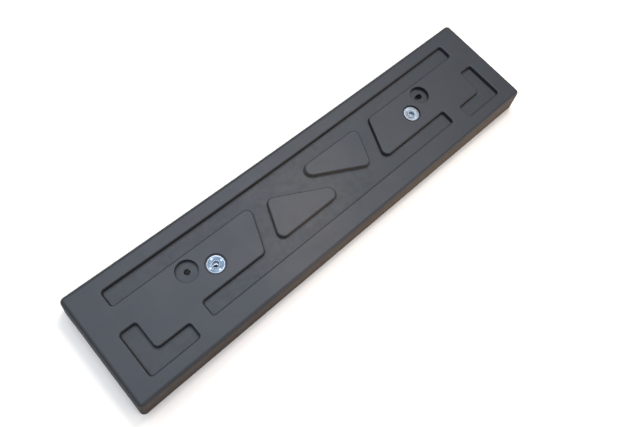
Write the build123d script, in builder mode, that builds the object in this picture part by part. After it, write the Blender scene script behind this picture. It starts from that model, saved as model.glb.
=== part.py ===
from build123d import *
import math
import os

os.makedirs("parts", exist_ok=True)

# ---------------------------------------------------------------------------
# Number plate holder: a moulded hollow cover that a 520 mm number plate is
# fixed on, with two countersunk socket screws through it.
# Millimetres. Z = 0 is the plane of the open back rim, +Z points out of the
# front face, X runs along the plate and +Y is the holder's upper long edge.
# The origin is the middle of the rim.
# ---------------------------------------------------------------------------

# outer body
RIM_LENGTH = 525.0          # over the back rim
RIM_WIDTH = 123.2
END_HEIGHT = 31.8           # rim to front face at the two ends
SAG = 7.4                   # the front face is dished: lower by this in the middle
END_DRAFT = 9.3             # degrees, the end walls lean in towards the face
SIDE_DRAFT = 4.75           # degrees, the same for the long walls
UPRIGHT_R = 4.8             # upright corners
FACE_EDGE_R = 4.0           # rounding between face and side walls
WALL = 3.0                  # moulded thickness

# relief pressed into the face; its own middle line sits above the part's
RELIEF_Y = 3.3
RELIEF_DEPTH = 5.2
RELIEF_DRAFT = 5.0          # degrees, its walls lean in towards the floor
RELIEF_PLAN_Z = 27.0        # height at which the plan below is true
RELIEF_TOP_R = 1.3          # rounding along the upper edge of the relief
RELIEF_FLOOR_R = 0.8        # rounding along its floor

UPPER_HALF = 227.1          # half length of the upper channel
UPPER_TOP, UPPER_LOW = 39.7, 22.9
LOWER_HALF = 165.8          # half length of the lower channel
LOWER_TOP, LOWER_LOW = -22.9, -39.7
SLANT_X = 82.55             # the slanted ends of the two lands, on the middle line
SLANT_ANGLE = 67.45         # degrees from the length
LAND_R = 6.0
CHANNEL_R = 3.0

# two triangular islands, one the other turned by half a turn
ISLAND = [(-55.7, 19.3), (-73.5, -23.05), (27.1, -23.05)]
ISLAND_R = 6.8
ISLAND_TIP_R = 7.7          # on the pointed corner, the last point above

# L-shaped recesses near the two ends
ELL_OUT, ELL_IN, ELL_ARM = 236.1, 219.7, 185.1
ELL_TOP, ELL_STEP, ELL_LOW = -1.1, -31.2, -47.0
ELL_R = 3.0
ELL_INNER_R = 5.0

# spot-faced plate holes: a round one on the left, a slot on the right
HOLE_X, HOLE_Y = 159.1, 11.7
SPOT_R = 10.75
SPOT_DEPTH = 4.5
HOLE_R = 3.0
SLOT_LENGTH = 9.4
SPOT_PAD_R = 13.4

# seats of the two fixing screws
SCREW_X, SCREW_Y = 134.8, 0.4
SEAT_R = 10.1               # clearance ring round the head
SEAT_RING_DEPTH = 1.8
HEAD_SINK = 0.8             # the heads lie this far under the face
BORE_R = 4.4
SCREW_PAD_R = 13.4
SCREW_PAD_DEPTH = 9.2

# fixing screws, M8 with a 90 degree countersunk head and a hexagon socket
HEAD_R = 8.6
HEAD_RIM = 0.4
NECK_R = 3.6                # rolled neck between the head and the thread
THREAD_R = 4.0
THREAD_START = 9.0          # below the top of the head
SCREW_LENGTH = 25.0
SOCKET_AF = 5.0
SOCKET_DEPTH = 3.4

# ---------------------------------------------------------------------------
# The dish is one circle in the XZ plane, centred far above the part.
# ---------------------------------------------------------------------------
DISH_R = ((RIM_LENGTH / 2) ** 2 + SAG ** 2) / (2 * SAG)
DISH_Z = END_HEIGHT - SAG + DISH_R


def face_z(x, below=0.0):
    """Height of the dished face at x, or of its parallel surface below it."""
    return DISH_Z - math.sqrt((DISH_R + below) ** 2 - x ** 2)


def dish_profile(below, half=290.0, floor=-20.0):
    """Outline, for the XZ plane, of everything under the surface that lies
    the distance `below` under the face."""
    with BuildSketch() as s:
        with BuildLine():
            ThreePointArc((-half, face_z(half, below)), (0, face_z(0, below)),
                          (half, face_z(half, below)))
            Polyline((half, face_z(half, below)), (half, floor),
                     (-half, floor), (-half, face_z(half, below)))
        make_face()
    return s.sketch


face_profile = dish_profile(0.0)
skin_profile = dish_profile(0.5 * WALL)
wall_profile = dish_profile(WALL)
floor_profile = dish_profile(RELIEF_DEPTH)
relief_profile = dish_profile(RELIEF_DEPTH + WALL)

with BuildPart() as under_face:
    with BuildSketch(Plane.XZ):
        add(face_profile)
    extrude(amount=90, both=True)

with BuildPart() as under_skin:
    with BuildSketch(Plane.XZ):
        add(skin_profile)
    extrude(amount=90, both=True)

with BuildPart() as under_wall:
    with BuildSketch(Plane.XZ):
        add(wall_profile)
    extrude(amount=90, both=True)

with BuildPart() as under_floor:
    with BuildSketch(Plane.XZ):
        add(floor_profile)
    extrude(amount=90, both=True)

with BuildPart() as under_relief:
    with BuildSketch(Plane.XZ):
        add(relief_profile)
    extrude(amount=90, both=True)

# ---------------------------------------------------------------------------
# Plan of the relief
# ---------------------------------------------------------------------------
half_run = (UPPER_LOW - LOWER_TOP) / 2 / math.tan(math.radians(SLANT_ANGLE))
mid_shift = (UPPER_LOW + LOWER_TOP) / 2 / math.tan(math.radians(SLANT_ANGLE))
slant_top = mid_shift + half_run       # x of a slanted end on the upper line, from its middle
slant_low = mid_shift - half_run

channel_points = [
    (-UPPER_HALF, UPPER_TOP), (UPPER_HALF, UPPER_TOP), (UPPER_HALF, UPPER_LOW),
    (SLANT_X + slant_top, UPPER_LOW), (SLANT_X + slant_low, LOWER_TOP),
    (LOWER_HALF, LOWER_TOP), (LOWER_HALF, LOWER_LOW), (-LOWER_HALF, LOWER_LOW),
    (-LOWER_HALF, LOWER_TOP), (-SLANT_X + slant_low, LOWER_TOP),
    (-SLANT_X + slant_top, UPPER_LOW), (-UPPER_HALF, UPPER_LOW),
]
land_corners = [3, 4, 9, 10]
relief_plane = Plane((0, RELIEF_Y, 0))


def near(points):
    """Selector for the sketch corners that stand on any of the points."""
    def pick(v):
        return any(math.hypot(v.X - p[0], v.Y - p[1]) < 0.5 for p in points)
    return pick


with BuildSketch(relief_plane) as islands:
    with BuildLine():
        Polyline(*ISLAND, close=True)
    make_face()
    with BuildLine():
        Polyline(*[(-x, -y) for x, y in ISLAND], close=True)
    make_face()
    tips = [ISLAND[2], (-ISLAND[2][0], -ISLAND[2][1])]
    fillet(islands.vertices().filter_by(near(tips)), ISLAND_TIP_R)
    fillet(islands.vertices().filter_by(near([(k * x, k * y) for x, y in ISLAND[:2]
                                              for k in (1, -1)])), ISLAND_R)

with BuildSketch(relief_plane) as channel:
    with BuildLine():
        Polyline(*channel_points, close=True)
    make_face()
    fillet(channel.vertices().filter_by(near([channel_points[i] for i in land_corners])), LAND_R)
    fillet(channel.vertices().filter_by(near([p for i, p in enumerate(channel_points)
                                              if i not in land_corners])), CHANNEL_R)

ell_points = [(ELL_OUT, ELL_TOP), (ELL_IN, ELL_TOP), (ELL_IN, ELL_STEP),
              (ELL_ARM, ELL_STEP), (ELL_ARM, ELL_LOW), (ELL_OUT, ELL_LOW)]

with BuildSketch(relief_plane) as ells:
    with BuildLine():
        Polyline(*ell_points, close=True)
    make_face()
    fillet(ells.vertices().filter_by(near([ell_points[2]])), ELL_INNER_R)
    fillet(ells.vertices().filter_by(near([p for i, p in enumerate(ell_points) if i != 2])), ELL_R)
    mirror(about=Plane.YZ)

# everything that is pressed in, reaching from the relief's floor to above the face
RELIEF_OPEN_Z = 36.0
open_out = (RELIEF_OPEN_Z - RELIEF_PLAN_Z) * math.tan(math.radians(RELIEF_DRAFT))
relief_mouth_plane = Plane((0, RELIEF_Y, RELIEF_OPEN_Z))

with BuildSketch(relief_mouth_plane) as channel_mouth:
    add(channel.sketch_local)
    offset(amount=open_out, kind=Kind.ARC)

with BuildSketch(relief_mouth_plane) as ells_mouth:
    add(ells.sketch_local)
    offset(amount=open_out, kind=Kind.ARC)


def island_outline(turn, z):
    """Sharp outline of one island at height z."""
    with BuildSketch(Plane((0, RELIEF_Y, z))) as s:
        with BuildLine():
            Polyline(*[(turn * x, turn * y) for x, y in ISLAND], close=True)
        make_face()
        offset(amount=(RELIEF_PLAN_Z - z) * math.tan(math.radians(RELIEF_DRAFT)),
               kind=Kind.INTERSECTION)
    return s.sketch


def upright_near(part, points):
    """The part's upright edges whose middle is close to any of the points."""
    return part.edges().filter_by(
        lambda e: abs(e.tangent_at(0.5).Z) > 0.5
        and any(math.hypot((e @ 0.5).X - p[0], (e @ 0.5).Y - RELIEF_Y - p[1]) < 4.0 for p in points))


# each island's walls lean, and its corners keep one radius all the way down
with BuildPart() as island_stand:
    for turn in (1, -1):
        with BuildPart(mode=Mode.PRIVATE) as stand:
            add(island_outline(turn, RELIEF_OPEN_Z - 22.0))
            add(island_outline(turn, RELIEF_OPEN_Z))
            loft(ruled=True)
            corners = [(turn * x, turn * y) for x, y in ISLAND]
            fillet(upright_near(stand, corners[2:]), ISLAND_TIP_R)
            fillet(upright_near(stand, corners[:2]), ISLAND_R)
        add(stand.part)

with BuildPart() as relief_cut:
    add(channel_mouth.sketch)
    add(ells_mouth.sketch)
    extrude(amount=-22.0, taper=RELIEF_DRAFT)
    add(island_stand.part, mode=Mode.SUBTRACT)
    add(under_floor.part, mode=Mode.SUBTRACT)

# the same plan grown by the wall, for the raised back of the relief
with BuildSketch(relief_plane) as channel_back:
    with BuildLine():
        Polyline(*channel_points, close=True)
    make_face()
    offset(amount=WALL, kind=Kind.INTERSECTION)

with BuildSketch(relief_plane) as ells_back:
    with BuildLine():
        Polyline(*ell_points, close=True)
    make_face()
    offset(amount=WALL, kind=Kind.INTERSECTION)
    mirror(about=Plane.YZ)

with BuildSketch(relief_plane) as islands_back:
    add(islands.sketch)
    offset(amount=-WALL, kind=Kind.ARC)

with BuildPart() as relief_back:
    add(channel_back.sketch)
    add(ells_back.sketch)
    extrude(amount=60)
    add(islands_back.sketch)
    extrude(amount=60, mode=Mode.SUBTRACT)
    add(under_relief.part, mode=Mode.SUBTRACT)
    add(under_skin.part, mode=Mode.INTERSECT)

# ---------------------------------------------------------------------------
# Pads behind the screw seats and spot faces, cut to the underside of the skin
# ---------------------------------------------------------------------------
with BuildPart() as back_pads:
    for x, y, r, deep in [(-SCREW_X, SCREW_Y, SCREW_PAD_R, SCREW_PAD_DEPTH),
                          (SCREW_X, SCREW_Y, SCREW_PAD_R, SCREW_PAD_DEPTH),
                          (-HOLE_X, HOLE_Y, SPOT_PAD_R, SPOT_DEPTH + WALL),
                          (HOLE_X, HOLE_Y, SPOT_PAD_R, SPOT_DEPTH + WALL)]:
        with BuildSketch(Plane((x, y, face_z(x) - deep))):
            Circle(r)
        extrude(amount=30)
    add(under_skin.part, mode=Mode.INTERSECT)

# ---------------------------------------------------------------------------
# The moulded panel
# ---------------------------------------------------------------------------
def lean(z):
    """How far the end and long walls have come in at height z."""
    return z * math.tan(math.radians(END_DRAFT)), z * math.tan(math.radians(SIDE_DRAFT))


with BuildPart() as cavity:
    for z in (-1.0, 44.0):
        with BuildSketch(Plane.XY.offset(z)):
            Rectangle(RIM_LENGTH - 2 * WALL - 2 * lean(z)[0], RIM_WIDTH - 2 * WALL - 2 * lean(z)[1])
    loft(ruled=True)
    fillet(cavity.edges().filter_by(lambda e: abs(e.tangent_at(0.5).Z) > 0.8), UPRIGHT_R - WALL + 0.4)
    add(under_wall.part, mode=Mode.INTERSECT)

with BuildPart() as holder_panel:
    for z in (0.0, 45.0):
        with BuildSketch(Plane.XY.offset(z)):
            Rectangle(RIM_LENGTH - 2 * lean(z)[0], RIM_WIDTH - 2 * lean(z)[1])
    loft(ruled=True)
    fillet(holder_panel.edges().filter_by(lambda e: abs(e.tangent_at(0.5).Z) > 0.8), UPRIGHT_R)
    add(under_face.part, mode=Mode.INTERSECT)
    front = holder_panel.faces().filter_by(GeomType.CYLINDER).sort_by(SortBy.AREA)[-1]
    fillet(front.edges(), FACE_EDGE_R)

    # hollow back, with the raised back of the relief and the pads
    add(cavity.part, mode=Mode.SUBTRACT)
    add(relief_back.part)
    add(back_pads.part)

    # relief
    add(relief_cut.part, mode=Mode.SUBTRACT)

    # spot faces with the round plate hole and the slot
    for x in (-HOLE_X, HOLE_X):
        with BuildSketch(Plane((x, HOLE_Y, face_z(x) - SPOT_DEPTH))):
            Circle(SPOT_R)
        extrude(amount=30, mode=Mode.SUBTRACT)
    with BuildSketch(Plane((-HOLE_X, HOLE_Y, 0))):
        Circle(HOLE_R)
    extrude(amount=60, mode=Mode.SUBTRACT)
    with BuildSketch(Plane((HOLE_X, HOLE_Y, 0))):
        SlotOverall(SLOT_LENGTH, 2 * HOLE_R)
    extrude(amount=60, mode=Mode.SUBTRACT)

    # screw seats: clearance ring, 90 degree cone and bore
    for x in (-SCREW_X, SCREW_X):
        top = face_z(x)
        cone_top_r = HEAD_R - (SEAT_RING_DEPTH - HEAD_SINK - HEAD_RIM)
        cone_low = top - SEAT_RING_DEPTH - (cone_top_r - BORE_R)
        with BuildSketch(Plane((x, SCREW_Y, 0), x_dir=(1, 0, 0), z_dir=(0, -1, 0))):
            with BuildLine():
                Polyline((0, top + 5), (SEAT_R, top + 5), (SEAT_R, top - SEAT_RING_DEPTH),
                         (cone_top_r, top - SEAT_RING_DEPTH), (BORE_R, cone_low),
                         (BORE_R, 0), (0, 0), close=True)
            make_face()
        revolve(axis=Axis((x, SCREW_Y, 0), (0, 0, 1)), mode=Mode.SUBTRACT)

    # rounded edges of the relief, along its top and along its floor
    dished = holder_panel.faces().filter_by(
        lambda f: f.geom_type == GeomType.CYLINDER and f.area > 1200
        and f.normal_at(f.center()).Z > 0.97)
    front = dished.sort_by(SortBy.AREA)[-1]
    tops = dished.filter_by(lambda f: abs(f.center().Z - face_z(f.center().X)) < 0.2
                            and abs(f.center().X) < 60 and f.area < 3000)
    floors = dished.filter_by(
        lambda f: abs(f.center().Z - face_z(f.center().X, RELIEF_DEPTH)) < 0.4
        and f not in tops and f != front)
    top_edges = [e for w in front.inner_wires() if w.length > 120 for e in w.edges()]
    top_edges += [e for f in tops for e in f.edges()]
    floor_edges = [e for f in floors for e in f.edges()]
    fillet(top_edges, RELIEF_TOP_R)
    fillet(floor_edges, RELIEF_FLOOR_R)

    # softened mouths of the spot faces and screw seats, and the rim's outer edge
    mouths = holder_panel.edges().filter_by(
        lambda e: any(math.dist(tuple(e.bounding_box().center()), (x, y, face_z(x))) < 1.0
                      and abs(e.length - 2 * math.pi * r) < 1.0
                      for x, y, r in [(-HOLE_X, HOLE_Y, SPOT_R), (HOLE_X, HOLE_Y, SPOT_R),
                                      (-SCREW_X, SCREW_Y, SEAT_R), (SCREW_X, SCREW_Y, SEAT_R)]))
    fillet(mouths, 0.5)

holder_panel.part.label = "holder_panel"
export_step(holder_panel.part, "parts/holder_panel.step")

# ---------------------------------------------------------------------------
# Fixing screws: two loose solids in one file, their heads in the seats
# ---------------------------------------------------------------------------
with BuildPart() as fixing_screws:
    for x in (-SCREW_X, SCREW_X):
        top = face_z(x) - HEAD_SINK
        with BuildSketch(Plane((x, SCREW_Y, 0), x_dir=(1, 0, 0), z_dir=(0, -1, 0))):
            with BuildLine():
                Polyline((0, top), (HEAD_R, top), (HEAD_R, top - HEAD_RIM),
                         (NECK_R, top - HEAD_RIM - (HEAD_R - NECK_R)),
                         (NECK_R, top - THREAD_START), (THREAD_R, top - THREAD_START),
                         (THREAD_R, top - SCREW_LENGTH + 1.0),
                         (THREAD_R - 1.0, top - SCREW_LENGTH), (0, top - SCREW_LENGTH),
                         close=True)
            make_face()
        revolve(axis=Axis((x, SCREW_Y, 0), (0, 0, 1)))
        with BuildSketch(Plane((x, SCREW_Y, top))):
            RegularPolygon(SOCKET_AF / 2, 6, major_radius=False, rotation=30)
        extrude(amount=-SOCKET_DEPTH, mode=Mode.SUBTRACT)
        with BuildSketch(Plane((x, SCREW_Y, top), x_dir=(1, 0, 0), z_dir=(0, -1, 0))):
            with BuildLine():
                Polyline((0, 0), (3.3, 0), (2.5, -0.8), (0, -0.8), close=True)
            make_face()
        revolve(axis=Axis((x, SCREW_Y, 0), (0, 0, 1)), mode=Mode.SUBTRACT)

fixing_screws.part.label = "fixing_screws"
export_step(fixing_screws.part, "parts/fixing_screws.step")
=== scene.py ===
import math

import bmesh
import bpy
from mathutils import Matrix, Vector


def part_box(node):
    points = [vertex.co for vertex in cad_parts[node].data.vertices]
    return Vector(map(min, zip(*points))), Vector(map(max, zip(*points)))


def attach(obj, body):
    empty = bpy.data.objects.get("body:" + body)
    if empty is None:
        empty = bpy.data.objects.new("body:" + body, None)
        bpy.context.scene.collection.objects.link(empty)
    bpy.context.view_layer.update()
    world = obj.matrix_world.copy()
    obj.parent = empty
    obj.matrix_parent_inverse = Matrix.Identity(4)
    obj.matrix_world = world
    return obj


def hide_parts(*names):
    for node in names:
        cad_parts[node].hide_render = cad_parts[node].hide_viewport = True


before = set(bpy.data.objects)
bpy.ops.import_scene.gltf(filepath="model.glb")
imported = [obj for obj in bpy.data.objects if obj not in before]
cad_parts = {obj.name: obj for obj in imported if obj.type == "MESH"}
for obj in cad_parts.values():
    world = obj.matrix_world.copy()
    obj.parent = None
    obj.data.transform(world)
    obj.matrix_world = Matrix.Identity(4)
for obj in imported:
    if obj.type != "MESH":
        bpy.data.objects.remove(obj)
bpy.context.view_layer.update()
scene = bpy.context.scene
scene.view_settings.view_transform = "Standard"

# --------------------------------------------------------------------------
# Camera: close above the left end, looking down along the holder
# --------------------------------------------------------------------------
CAM_POS = (-0.198316, -0.119064, 0.491402)
CAM_RIGHT = (0.734912, -0.664084, 0.137466)
CAM_DOWN = (-0.585193, -0.723436, -0.366320)
CAM_AHEAD = (0.342715, 0.188769, -0.920279)
FOCAL_PX = 509.8
FRAME_PX = 640.0

cam_data = bpy.data.cameras.new("Camera")
cam_data.sensor_fit = "HORIZONTAL"
cam_data.sensor_width = 36.0
cam_data.lens = FOCAL_PX / FRAME_PX * 36.0
cam_data.clip_start = 0.01
cam_data.clip_end = 20.0
cam = bpy.data.objects.new("Camera", cam_data)
scene.collection.objects.link(cam)
m = Matrix.Identity(4)
for i in range(3):
    m[i][0] = CAM_RIGHT[i]
    m[i][1] = -CAM_DOWN[i]
    m[i][2] = -CAM_AHEAD[i]
    m[i][3] = CAM_POS[i]
cam.matrix_world = m
scene.camera = cam


# --------------------------------------------------------------------------
# Floor and light
# --------------------------------------------------------------------------
def area_light(name, pos, target, size, power, colour, size_y=None):
    data = bpy.data.lights.new(name, "AREA")
    data.shape = "RECTANGLE" if size_y else "SQUARE"
    data.size = size
    if size_y:
        data.size_y = size_y
    data.energy = power
    data.color = colour
    o = bpy.data.objects.new(name, data)
    scene.collection.objects.link(o)
    o.location = pos
    d = Vector(target) - Vector(pos)
    o.rotation_euler = d.to_track_quat("-Z", "Y").to_euler()
    return o


bm = bmesh.new()
bmesh.ops.create_grid(bm, x_segments=2, y_segments=2, size=6.0)
floor_mesh = bpy.data.meshes.new("floor")
bm.to_mesh(floor_mesh)
bm.free()
floor = bpy.data.objects.new("floor", floor_mesh)
floor.location = (0, 0, -0.0002)
scene.collection.objects.link(floor)
fm = bpy.data.materials.new("floor_pale")
fm.use_nodes = True
fb = fm.node_tree.nodes["Principled BSDF"]
fb.inputs["Base Color"].default_value = (0.95, 0.86, 0.76, 1)
fb.inputs["Roughness"].default_value = 0.95
fb.inputs["Specular IOR Level"].default_value = 0.1
floor_mesh.materials.append(fm)

world = bpy.data.worlds.new("World")
scene.world = world
world.use_nodes = True
bg = world.node_tree.nodes["Background"]
bg.inputs["Color"].default_value = (0.85, 0.92, 1.0, 1)
bg.inputs["Strength"].default_value = 0.36

area_light("sky", (-0.14, 0.22, 1.5), (-0.14, 0.22, 0), 1.9, 27.6, (0.695, 0.815, 1.0), 1.9)
area_light("warm", (0.42, 0.24, 1.20), (0.0, 0, 0), 0.24, 5.8, (0.95, 0.92, 0.88))
area_light("side", (0.035, 0.65, 1.14), (0.0, 0, 0), 0.18, 2.2, (0.90, 0.95, 1.0))
area_light("low_warm", (0.90, -1.45, 0.42), (0.05, 0, 0.02), 1.2, 11.5, (1.0, 0.74, 0.52), 0.5)


# --------------------------------------------------------------------------
# Node helpers
# --------------------------------------------------------------------------
class Tree:
    def __init__(self, name):
        self.mat = bpy.data.materials.new(name)
        self.mat.use_nodes = True
        self.nt = self.mat.node_tree
        self.bsdf = self.nt.nodes["Principled BSDF"]
        self.obj = self.add("ShaderNodeTexCoord").outputs["Object"]

    def add(self, kind, **props):
        n = self.nt.nodes.new(kind)
        for k, v in props.items():
            setattr(n, k, v)
        return n

    def link(self, a, b):
        self.nt.links.new(a, b)

    def put(self, sock, v):
        if isinstance(v, bpy.types.NodeSocket):
            self.link(v, sock)
        else:
            sock.default_value = v

    def noise(self, scale, detail=3.0, rough=0.55, vec=None, dist=0.0):
        n = self.add("ShaderNodeTexNoise")
        self.link(vec or self.obj, n.inputs["Vector"])
        n.inputs["Scale"].default_value = scale
        n.inputs["Detail"].default_value = detail
        n.inputs["Roughness"].default_value = rough
        n.inputs["Distortion"].default_value = dist
        return n.outputs["Fac"]

    def math(self, op, a, b=0.0, c=0.0):
        n = self.add("ShaderNodeMath", operation=op)
        self.put(n.inputs[0], a)
        self.put(n.inputs[1], b)
        self.put(n.inputs[2], c)
        return n.outputs[0]

    def remap(self, v, lo, hi, to_lo=0.0, to_hi=1.0):
        n = self.add("ShaderNodeMapRange")
        self.put(n.inputs["Value"], v)
        n.inputs["From Min"].default_value = lo
        n.inputs["From Max"].default_value = hi
        n.inputs["To Min"].default_value = to_lo
        n.inputs["To Max"].default_value = to_hi
        return n.outputs["Result"]

    def mix(self, fac, a, b, blend="MIX"):
        n = self.add("ShaderNodeMix", data_type="RGBA", blend_type=blend)
        self.put(n.inputs["Factor"], fac)
        self.put(n.inputs["A"], a)
        self.put(n.inputs["B"], b)
        return n.outputs["Result"]

    def bump(self, height, distance, strength=1.0, normal=None):
        n = self.add("ShaderNodeBump")
        n.inputs["Distance"].default_value = distance
        n.inputs["Strength"].default_value = strength
        self.link(height, n.inputs["Height"])
        if normal is not None:
            self.link(normal, n.inputs["Normal"])
        return n.outputs["Normal"]


def dress(o, mat):
    if not o.material_slots:
        o.data.materials.append(None)
    for s in o.material_slots:
        s.link = "OBJECT"
        s.material = mat


# --------------------------------------------------------------------------
# Moulded black plastic: fine grain, faint mottling, dust in the low places
# --------------------------------------------------------------------------
def plastic():
    t = Tree("black_plastic")
    b = t.bsdf
    mottle = t.noise(34.0, 4.0, 0.6)
    patch = t.noise(11.0, 2.0, 0.5)
    tint = t.noise(60.0, 3.0, 0.55, dist=0.6)
    grain = t.noise(2600.0, 2.0, 0.6)
    base = t.mix(t.remap(mottle, 0.3, 0.7), (0.0135, 0.0142, 0.0172, 1), (0.0210, 0.0224, 0.0275, 1))
    base = t.mix(t.remap(patch, 0.38, 0.68, 0.0, 0.6), base, (0.0205, 0.0196, 0.0215, 1))
    base = t.mix(t.remap(tint, 0.45, 0.75, 0.0, 0.5), base, (0.0170, 0.0200, 0.0190, 1))
    base = t.mix(t.remap(grain, 0.35, 0.65, 0.0, 0.35), base, (0.0270, 0.0275, 0.0300, 1))

    # depth under the dished face, for the dust that lies in the relief
    sep = t.add("ShaderNodeSeparateXYZ")
    t.link(t.obj, sep.inputs[0])
    x, y, z = sep.outputs
    face = t.math("MULTIPLY_ADD", t.math("MULTIPLY", x, x), 0.1073, 0.0244)
    under = t.math("SUBTRACT", face, z)
    lying = t.math("MULTIPLY", t.remap(under, 0.0036, 0.0049), t.remap(under, 0.0075, 0.0060))
    dust = t.math("MULTIPLY", lying, t.remap(t.noise(150.0, 5.0, 0.65), 0.42, 0.72))
    base = t.mix(t.math("MULTIPLY", dust, 0.30), base, (0.050, 0.047, 0.043, 1))

    # painted reflection: a faint warm patch slanting across the middle, standing in for a warm reflection on the
    # face
    dx, dy = t.math("ADD", x, 0.037), t.math("ADD", y, 0.017)
    hu = t.math("DIVIDE", t.math("ADD", t.math("MULTIPLY", dx, 0.8), t.math("MULTIPLY", dy, 0.6)), 0.098)
    hv = t.math("DIVIDE", t.math("SUBTRACT", t.math("MULTIPLY", dy, 0.8), t.math("MULTIPLY", dx, 0.6)), 0.050)
    far = t.math("ADD", t.math("MULTIPLY", hu, hu), t.math("MULTIPLY", hv, hv))
    warm_reflection_paint = t.math("MULTIPLY", t.remap(far, 1.0, 0.0), t.remap(t.noise(38.0, 4.0, 0.6), 0.36, 0.66, 0.35, 1.0))
    base = t.mix(t.math("MULTIPLY", warm_reflection_paint, 0.70), base, (0.056, 0.043, 0.039, 1))
    # painted light: the upright walls of the relief near the middle are made lighter and warmer, standing in for
    # light falling on them
    geo = t.add("ShaderNodeNewGeometry")
    nsep = t.add("ShaderNodeSeparateXYZ")
    t.link(geo.outputs["Normal"], nsep.inputs[0])
    lit_relief_wall_paint = t.remap(t.math("ABSOLUTE", nsep.outputs[2]), 0.80, 0.40)
    wx = t.math("DIVIDE", t.math("ADD", x, 0.004), 0.088)
    wy = t.math("DIVIDE", y, 0.040)
    wide = t.math("ADD", t.math("MULTIPLY", wx, wx), t.math("MULTIPLY", wy, wy))
    lit_relief_wall_paint = t.math("MULTIPLY", lit_relief_wall_paint, t.remap(wide, 1.0, 0.5))
    base = t.mix(t.math("MULTIPLY", lit_relief_wall_paint, 0.85), base, (0.084, 0.074, 0.066, 1))

    # painted reflection: a thin brown tone on the outer walls, a warm floor reflected in them, stronger towards
    # the rim and painted darker towards the left end
    upright = t.remap(t.math("ABSOLUTE", nsep.outputs[2]), 0.72, 0.25)
    sides = t.math("MULTIPLY", upright, t.remap(t.math("ABSOLUTE", y), 0.0530, 0.0545))
    ends = t.math("MULTIPLY", upright, t.remap(t.math("ABSOLUTE", x), 0.2500, 0.2530))
    near_rim_weight = t.math("MULTIPLY", t.remap(z, 0.032, 0.008, 0.50, 1.0), t.remap(t.noise(45.0, 4.0, 0.6), 0.30, 0.70, 0.65, 1.0))
    low = t.math("MULTIPLY", t.math("MAXIMUM", sides, ends), near_rim_weight)
    floor_reflection_paint = t.mix(t.remap(x, -0.16, 0.04), (0.040, 0.020, 0.010, 1), (0.084, 0.053, 0.028, 1))
    base = t.mix(t.math("MULTIPLY", t.math("MULTIPLY", sides, near_rim_weight), 0.90), base, floor_reflection_paint)
    # painted shade: the end walls darkened to a deep brown
    base = t.mix(t.math("MULTIPLY", t.math("MULTIPLY", ends, near_rim_weight), 0.60), base, (0.022, 0.014, 0.009, 1))

    # sparse specks and hair-fine scuffs
    speck = t.remap(t.noise(620.0, 1.0, 0.4), 0.765, 0.80)
    base = t.mix(t.math("MULTIPLY", speck, 0.6), base, (0.085, 0.080, 0.074, 1))
    pit = t.remap(t.noise(430.0, 1.0, 0.4, dist=0.3), 0.23, 0.20)
    base = t.mix(t.math("MULTIPLY", pit, 0.7), base, (0.006, 0.006, 0.006, 1))
    turn = t.add("ShaderNodeMapping")
    t.link(t.obj, turn.inputs["Vector"])
    turn.inputs["Rotation"].default_value = (0.0, 0.0, 0.5)
    turn.inputs["Scale"].default_value = (0.035, 1.0, 0.3)
    scuff = t.remap(t.noise(1500.0, 2.0, 0.5, turn.outputs[0], 0.2), 0.68, 0.76)
    scuff = t.math("MULTIPLY", scuff, t.remap(t.noise(24.0, 2.0, 0.5), 0.52, 0.66))
    base = t.mix(t.math("MULTIPLY", scuff, 0.25), base, (0.060, 0.062, 0.068, 1))
    t.link(base, b.inputs["Base Color"])

    rough = t.math("ADD", t.remap(mottle, 0.25, 0.75, 0.49, 0.57), t.remap(grain, 0.3, 0.7, -0.03, 0.03))
    rough = t.math("ADD", rough, t.math("MULTIPLY", dust, 0.10))
    rough = t.math("ADD", rough, t.math("MULTIPLY", low, 0.48))
    rough = t.math("SUBTRACT", rough, t.math("MULTIPLY", scuff, 0.06))
    t.link(rough, b.inputs["Roughness"])
    b.inputs["Specular IOR Level"].default_value = 0.5
    n1 = t.bump(grain, 0.00004, 0.6)
    n2 = t.bump(t.noise(700.0, 2.0, 0.5), 0.00008, 0.35, n1)
    n3 = t.bump(t.noise(55.0, 2.0, 0.5), 0.00035, 0.25, n2)
    t.link(n3, b.inputs["Normal"])
    return t.mat


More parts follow.
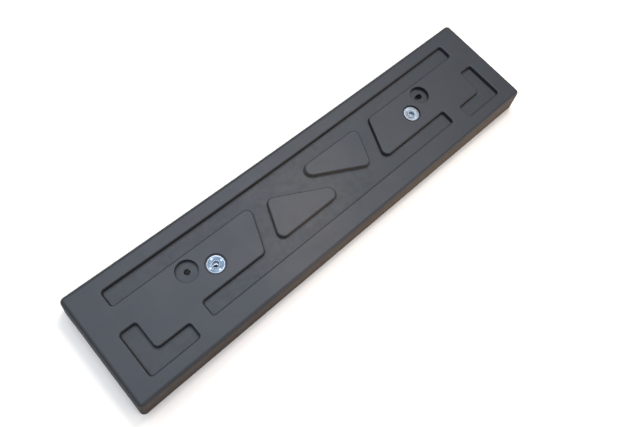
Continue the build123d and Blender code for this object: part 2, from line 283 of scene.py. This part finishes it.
# --------------------------------------------------------------------------
# Bright zinc on turned steel: rings round the axis, worn and slightly dull
# --------------------------------------------------------------------------
def zinc(name, dark, light, dull, streak, shade_centre, shade_amount):
    t = Tree(name)
    b = t.bsdf
    sep = t.add("ShaderNodeSeparateXYZ")
    t.link(t.obj, sep.inputs[0])
    x, y, z = sep.outputs
    rad = t.math("SQRT", t.math("ADD", t.math("MULTIPLY", x, x), t.math("MULTIPLY", y, y)))
    # rings: noise sampled along the radius, nearly constant round the axis
    comb = t.add("ShaderNodeCombineXYZ")
    t.link(t.math("MULTIPLY", rad, 1.0), comb.inputs[0])
    t.link(t.math("MULTIPLY", z, 0.25), comb.inputs[2])
    rings = t.noise(2600.0, 4.0, 0.6, comb.outputs[0])
    fine = t.noise(1500.0, 4.0, 0.6)
    cloud = t.noise(260.0, 3.0, 0.55)
    base = t.mix(t.remap(cloud, 0.3, 0.7), (*dark, 1), (*light, 1))
    base = t.mix(t.remap(fine, 0.52, 0.72, 0.0, 0.35), base, (*(0.68 * c for c in dark), 1))
    # worn bright ring round the socket's mouth, and painted shade low in the socket
    wear = t.math("MULTIPLY", t.remap(rad, 0.0031, 0.0034), t.remap(rad, 0.0040, 0.0035))
    base = t.mix(t.math("MULTIPLY", wear, 0.55), base, (0.40, 0.45, 0.50, 1))
    # painted highlight: a bright ring at the edge of the head, standing in for light caught by the edge
    rim_highlight_paint = t.remap(rad, 0.0077, 0.0081)
    base = t.mix(t.math("MULTIPLY", rim_highlight_paint, 0.85), base, (0.40, 0.43, 0.47, 1))
    # a turned ring round the socket, and four painted highlights on the head, standing in for lamp reflections on
    # the turned metal
    line = t.math("MULTIPLY", t.remap(rad, 0.0041, 0.0043), t.remap(rad, 0.0047, 0.0045))
    base = t.mix(t.math("MULTIPLY", line, 0.6), base, (0.30, 0.34, 0.38, 1))
    ax, ay = t.math("ABSOLUTE", x), t.math("ABSOLUTE", y)
    along = t.math("MAXIMUM", ax, ay)
    across = t.math("MINIMUM", ax, ay)
    off = t.math("SUBTRACT", along, 0.0063)
    spot = t.math("SQRT", t.math("ADD", t.math("MULTIPLY", off, off), t.math("MULTIPLY", across, across)))
    cross_highlight_paint = t.math("MULTIPLY", t.remap(spot, 0.0014, 0.0004), t.remap(z, -0.0003, -0.0001))
    base = t.mix(t.math("MULTIPLY", cross_highlight_paint, 0.8), base, (0.46, 0.50, 0.55, 1))
    # painted light: the upper walls inside the socket made bright, standing in for light falling into it
    lit_socket_wall_paint = t.math("MULTIPLY", t.remap(z, -0.0003, -0.0008), t.remap(rad, 0.0032, 0.0030))
    base = t.mix(t.math("MULTIPLY", lit_socket_wall_paint, 0.85), base, (0.40, 0.45, 0.50, 1))
    # painted shade: a near-black spot low in the socket, off the axis, standing in for the shadow on the socket's
    # floor
    gx, gy = t.math("SUBTRACT", x, shade_centre[0]), t.math("SUBTRACT", y, shade_centre[1])
    gr = t.math("SQRT", t.math("ADD", t.math("MULTIPLY", gx, gx), t.math("MULTIPLY", gy, gy)))
    socket_shade_paint = t.math("MULTIPLY", t.remap(z, -0.0024, -0.0031), t.remap(gr, 0.0023, 0.0017))
    base = t.mix(t.math("MULTIPLY", socket_shade_paint, shade_amount), base, (0.004, 0.005, 0.006, 1))
    t.link(base, b.inputs["Base Color"])
    b.inputs["Metallic"].default_value = 1.0
    t.link(t.math("ADD", t.remap(fine, 0.3, 0.7, 0.34 + dull, 0.42 + dull), t.remap(rings, 0.3, 0.7, -0.04, 0.04)),
           b.inputs["Roughness"])
    b.inputs["Anisotropic"].default_value = streak
    tan = t.add("ShaderNodeTangent", direction_type="RADIAL", axis="Z")
    t.link(tan.outputs[0], b.inputs["Tangent"])
    n1 = t.bump(rings, 0.00003, 0.5)
    n2 = t.bump(fine, 0.00003, 0.35, n1)
    t.link(n2, b.inputs["Normal"])
    return t.mat


dress(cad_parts["holder_panel"], plastic())
# --------------------------------------------------------------------------
# The two fixing screws, turned and threaded; each mesh has its origin in the
# middle of the head's top, with the shank along -Z. Millimetres here.
# --------------------------------------------------------------------------
SCREWS = {"fixing_screw_left": (-0.1348, 0.0004, zinc("zinc_steel", (0.095, 0.122, 0.152), (0.135, 0.165, 0.200),
                                                       0.0, 0.8, (-0.0008, -0.0010), 0.98)),
          "fixing_screw_right": (0.1348, 0.0004, zinc("zinc_steel_clean", (0.250, 0.275, 0.305),
                                                       (0.335, 0.355, 0.385), 0.18, 0.45, (0.0011, 0.0012), 0.08))}
HEAD_TOP_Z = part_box("fixing_screws")[1].z
SEG = 96
PITCH = 1.25


def hexagon(a):
    k = (math.degrees(a) + 30.0) % 60.0 - 30.0
    return 2.5 / math.cos(math.radians(k))


def screw_rows():
    """Rows of (height, radius) as functions of the angle, from the floor of
    the socket over the head and down the shank."""
    def ring(r, z):
        return lambda a: (z, r)

    rows = [
        ring(0.9, -3.38),
        lambda a: (-3.4, hexagon(a) * 0.96),
        lambda a: (-3.3, hexagon(a)),
        lambda a: (-(3.3 - hexagon(a)) - 0.06, hexagon(a)),
        lambda a: (-(3.3 - hexagon(a)) + 0.05, hexagon(a) + 0.03),
        ring(3.24, -0.08), ring(3.34, -0.02), ring(3.46, 0.0),
        ring(4.14, 0.0), ring(4.24, -0.06), ring(4.34, -0.06), ring(4.44, 0.0),
        ring(6.0, 0.0), ring(7.4, 0.0), ring(8.30, 0.0),
        ring(8.44, -0.02), ring(8.54, -0.07), ring(8.59, -0.16), ring(8.6, -0.30),
        ring(8.56, -0.44), ring(8.48, -0.53), ring(6.6, -2.40), ring(4.6, -4.40),
        ring(3.78, -5.22), ring(3.64, -5.42), ring(3.6, -5.7), ring(3.6, -7.4), ring(3.6, -8.7),
    ]
    step = PITCH / 10
    n = int(round(15.2 / step))
    for i in range(n + 1):
        z = -8.8 - i * step

        def thread(a, z=z):
            phase = (z / PITCH + a / (2 * math.pi)) % 1.0
            up = min(phase, 1.0 - phase) * 2.0            # 0 in the root, 1 on the crest
            h = min(max((up - 0.16) / 0.70, 0.0), 1.0)
            fade = min(max((-z - 9.0) / 1.0, 0.0), 1.0)
            end = min(max((z + 24.6) / 1.4, 0.0), 1.0)
            low = 3.42 if -z > 9.0 else 3.6
            return z, low + (3.99 - low) * h * fade * (0.35 + 0.65 * end)
        rows.append(thread)
    rows += [ring(3.36, -24.25), ring(3.2, -24.6), ring(2.9, -24.9), ring(2.6, -24.98), ring(1.3, -24.99)]
    return rows


def screw_mesh():
    bm = bmesh.new()
    rings = []
    for f in screw_rows():
        r = []
        for k in range(SEG):
            a = 2 * math.pi * k / SEG
            z, rad = f(a)
            r.append(bm.verts.new((rad * math.cos(a) * 0.001, rad * math.sin(a) * 0.001, z * 0.001)))
        rings.append(r)
    top = bm.verts.new((0, 0, -0.0034))
    low = bm.verts.new((0, 0, -0.02499))
    for k in range(SEG):
        j = (k + 1) % SEG
        bm.faces.new((top, rings[0][k], rings[0][j]))
        bm.faces.new((low, rings[-1][j], rings[-1][k]))
        for a, b in zip(rings, rings[1:]):
            bm.faces.new((a[k], b[k], b[j], a[j]))
    bmesh.ops.recalc_face_normals(bm, faces=bm.faces)
    me = bpy.data.meshes.new("fixing_screw")
    bm.to_mesh(me)
    bm.free()
    for p in me.polygons:
        p.use_smooth = True
    me.set_sharp_from_angle(angle=math.radians(38))
    return me


one_screw = screw_mesh()
for name, (x, y, finish) in SCREWS.items():
    o = bpy.data.objects.new(name, one_screw.copy())
    scene.collection.objects.link(o)
    o.location = (x, y, HEAD_TOP_Z)
    o.data.materials.append(finish)
    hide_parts("fixing_screws")
    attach(o, "root")

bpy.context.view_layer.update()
